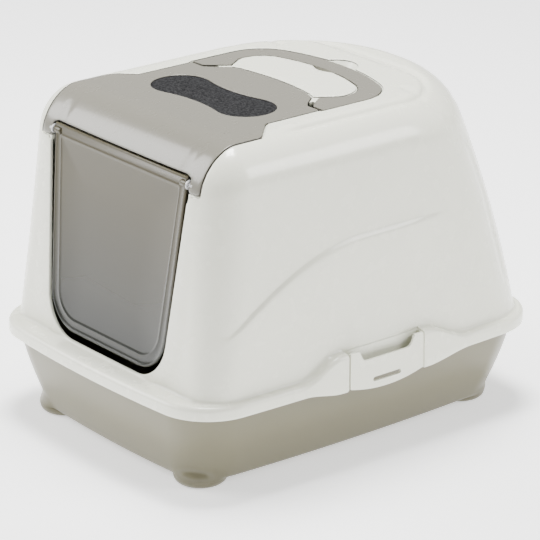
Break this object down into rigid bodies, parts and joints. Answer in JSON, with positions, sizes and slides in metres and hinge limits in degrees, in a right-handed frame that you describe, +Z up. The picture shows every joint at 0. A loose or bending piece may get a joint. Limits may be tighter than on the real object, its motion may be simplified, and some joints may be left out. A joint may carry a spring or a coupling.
{
  "type": "covered litter box",
  "caption": "Covered cat litter box: tray, lift-off hood, flip lid with smoky swing door and air filter, folding carry handle, side clips.",
  "frame": {"origin": "on the floor under the middle of the box", "axes": "+Z up, the swing door faces -Y, X across; the longest side lies along Y"},
  "size_m": [0.3914, 0.4998, 0.371],
  "materials": {
    "taupe_tray": "moulded polypropylene, satin gloss",
    "white_hood": "moulded polypropylene, gloss",
    "taupe_lid": "moulded polypropylene, gloss",
    "taupe_handle": "moulded polypropylene, gloss",
    "taupe_holder": "moulded polypropylene",
    "white_clip": "moulded polypropylene, gloss",
    "smoky_door": "smoky translucent plastic",
    "clear_pivot": "clear plastic",
    "carbon_felt": "carbon-loaded felt"
  },
  "bodies": {
    "tray": {"tray": "taupe_tray"},
    "hood": {"hood": "white_hood"},
    "lid": {"flip_lid": "taupe_lid", "door_pivot_left": "clear_pivot", "door_pivot_right": "clear_pivot", "carbon_filter": "carbon_felt", "filter_holder": "taupe_holder"},
    "door": {"swing_door": "smoky_door"},
    "handle": {"carry_handle": "taupe_handle"},
    "clip_left": {"side_clip_left": "white_clip"},
    "clip_right": {"side_clip_right": "white_clip"}
  },
  "joints": [
    {"name": "hood_lift", "type": "slide", "parent": "tray", "child": "hood", "axis": [0, 0, 1], "range_m": [0, 0.3]},
    {"name": "lid_flip", "type": "hinge", "parent": "hood", "child": "lid", "pos_m": [0, -0.022, 0.3646], "axis": [-1, 0, 0], "range_deg": [0, 100]},
    {"name": "door_swing", "type": "hinge", "parent": "lid", "child": "door", "pos_m": [0, -0.19594, 0.32908], "axis": [1, 0, 0], "range_deg": [-75, 75]},
    {"name": "handle_fold", "type": "hinge", "parent": "hood", "child": "handle", "pos_m": [0, -0.007, 0.3666], "axis": [1, 0, 0], "range_deg": [0, 80]},
    {"name": "clip_left_swing", "type": "hinge", "parent": "hood", "child": "clip_left", "pos_m": [-0.1906, 0.007, 0.123], "axis": [0, 1, 0], "range_deg": [0, 90]},
    {"name": "clip_right_swing", "type": "hinge", "parent": "hood", "child": "clip_right", "pos_m": [0.1906, 0.007, 0.123], "axis": [0, -1, 0], "range_deg": [0, 90]}
  ]
}
